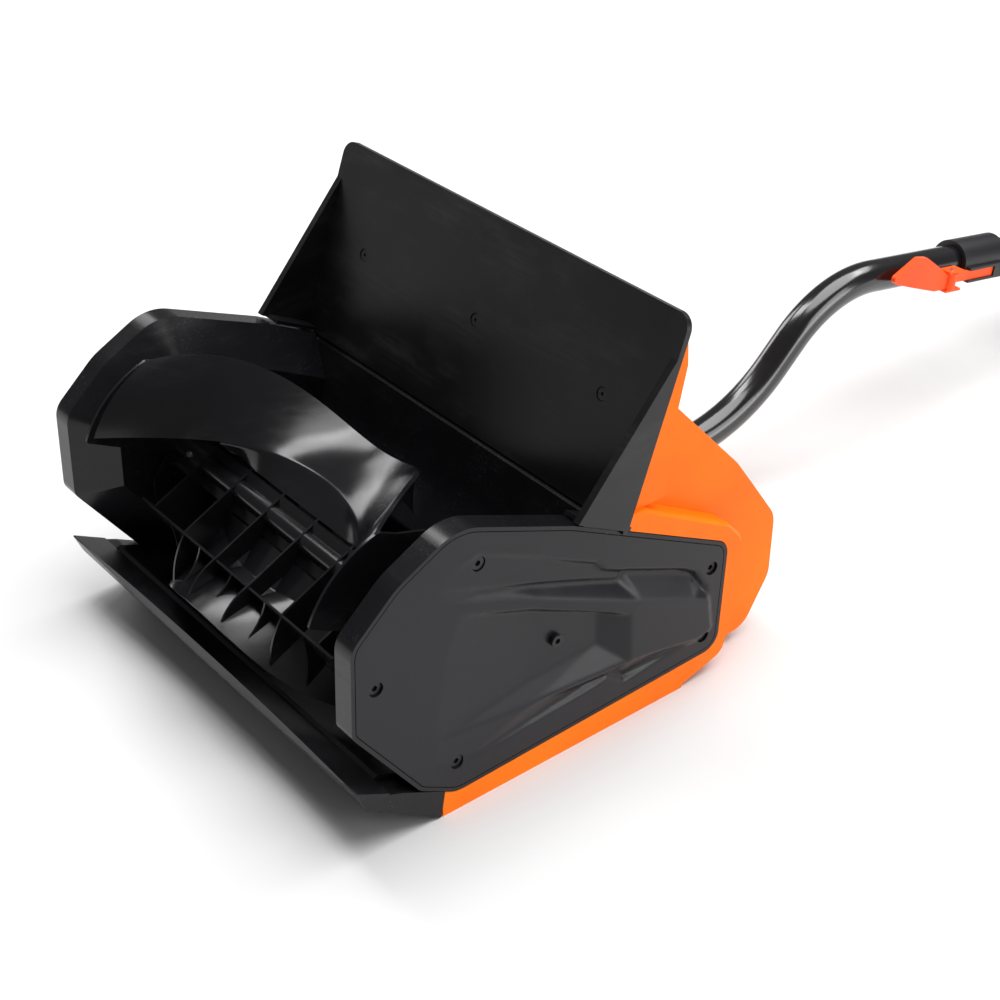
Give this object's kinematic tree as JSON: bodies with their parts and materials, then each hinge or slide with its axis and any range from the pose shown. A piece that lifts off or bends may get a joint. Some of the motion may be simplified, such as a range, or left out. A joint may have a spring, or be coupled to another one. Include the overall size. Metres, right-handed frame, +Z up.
{
  "type": "single stage snowblower",
  "caption": "Electric single stage snow thrower: open rotor with swept paddles between two side housings, upright deflector, orange rear shell and bent telescoping handle.",
  "frame": {"origin": "on the centre plane, on the flat underside of the rear shell's tray, where the machine rests on the ground", "axes": "+X across the machine towards its belt drive side, -Y the front where snow enters, +Z up; the machine stands flat with its handle lying rearwards"},
  "size_m": [0.335, 1.2539, 0.272],
  "materials": {
    "housing_black": "gloss moulded",
    "deflector_black": "satin with faint scuffs",
    "scraper_black": "satin",
    "orange_shell": "satin moulded",
    "cover_charcoal": "fine matt texture",
    "screw_black": "black oxide",
    "bearing_steel": "ground",
    "rotor_black": "gloss moulded",
    "bright_steel": "turned",
    "pulley_black": "moulded",
    "belt_rubber": "matt",
    "pulley_metal": "cast",
    "motor_steel": "zinc and grey paint",
    "magnet_grey": "sintered",
    "fan_white": "moulded",
    "armature_iron": "laminated",
    "tube_black": "gloss powder coat",
    "clamp_black": "satin",
    "orange_lever": "satin",
    "grip_black": "textured",
    "brass_prong": "plated",
    "sleeve_rubber": "foam rubber"
  },
  "bodies": {
    "base": {"auger_housing": "housing_black", "deflector": "deflector_black", "scraper_blade": "scraper_black", "rear_housing": "orange_shell", "side_cover_right": "cover_charcoal", "side_cover_left": "cover_charcoal", "cover_screws_right": "screw_black", "cover_screws_left": "screw_black", "deflector_screws": "screw_black", "rotor_bearing_right": "bearing_steel", "rotor_bearing_left": "bearing_steel", "drive_belt": "belt_rubber", "motor_can": "motor_steel", "motor_mount": "pulley_metal", "motor_screws": "screw_black", "motor_magnets": "magnet_grey", "motor_end_cap": "fan_white", "lower_tube": "tube_black", "tube_socket": "clamp_black", "tube_bolts": "bright_steel", "clamp_collar": "clamp_black", "clamp_jaw": "orange_lever", "clamp_pin": "bright_steel"},
    "rotor": {"paddle_a": "rotor_black", "paddle_b": "rotor_black", "hub_pins": "bright_steel", "rotor_shaft": "bright_steel", "driven_pulley": "pulley_black", "pulley_nut": "bright_steel"},
    "armature": {"motor_shaft": "bright_steel", "motor_armature": "armature_iron", "motor_fan": "fan_white", "drive_pulley": "pulley_metal"},
    "clamp_lever_body": {"clamp_lever": "orange_lever"},
    "upper_handle": {"upper_tube": "tube_black", "grip_shell_right": "grip_black", "grip_shell_left": "grip_black", "grip_screws": "screw_black", "power_inlet": "clamp_black", "inlet_prongs": "brass_prong", "trigger_pin": "bright_steel", "switch_body": "clamp_black", "aux_clamp": "clamp_black", "aux_bolt": "bright_steel"},
    "trigger_body": {"trigger": "orange_lever"},
    "lock_button_body": {"lock_button": "orange_lever"},
    "aux_handle": {"aux_bail": "tube_black", "aux_grip_sleeve": "sleeve_rubber"},
    "aux_knob_body": {"aux_knob": "orange_lever"}
  },
  "joints": [
    {"name": "rotor_spin", "type": "hinge", "parent": "base", "child": "rotor", "pos_m": [0, -0.084, 0.113], "axis": [1, 0, 0], "continuous": true},
    {"name": "motor_spin", "type": "hinge", "parent": "base", "child": "armature", "pos_m": [0, 0.084, 0.062], "axis": [1, 0, 0], "continuous": true},
    {"name": "clamp_lever_swing", "type": "hinge", "parent": "base", "child": "clamp_lever_body", "pos_m": [0.02, 0.51502, 0.10426], "axis": [0, 0.1616, 0.9869], "range_deg": [0, 100]},
    {"name": "handle_length", "type": "slide", "parent": "base", "child": "upper_handle", "axis": [0, 0.9869, -0.1616], "range_m": [-0.055, 0]},
    {"name": "trigger_pull", "type": "hinge", "parent": "upper_handle", "child": "trigger_body", "pos_m": [0, 0.98999, 0.09944], "axis": [1, 0, 0], "range_deg": [0, 7], "stiffness_Nm_per_rad": 1, "springref_deg": -5.73},
    {"name": "lock_press", "type": "slide", "parent": "upper_handle", "child": "lock_button_body", "axis": [-1, 0, 0], "range_m": [0, 0.003], "stiffness_N_per_m": 400, "springref_m": -0.002},
    {"name": "aux_handle_tilt", "type": "hinge", "parent": "upper_handle", "child": "aux_handle", "pos_m": [0, 0.72398, 0.10247], "axis": [1, 0, 0], "range_deg": [-50, 50]},
    {"name": "aux_knob_turn", "type": "hinge", "parent": "upper_handle", "child": "aux_knob_body", "pos_m": [0.032, 0.72398, 0.10247], "axis": [1, 0, 0], "continuous": true}
  ],
  "couplings": [
    {"joint": "motor_spin", "follows": "rotor_spin", "ratio": 3.4}
  ]
}
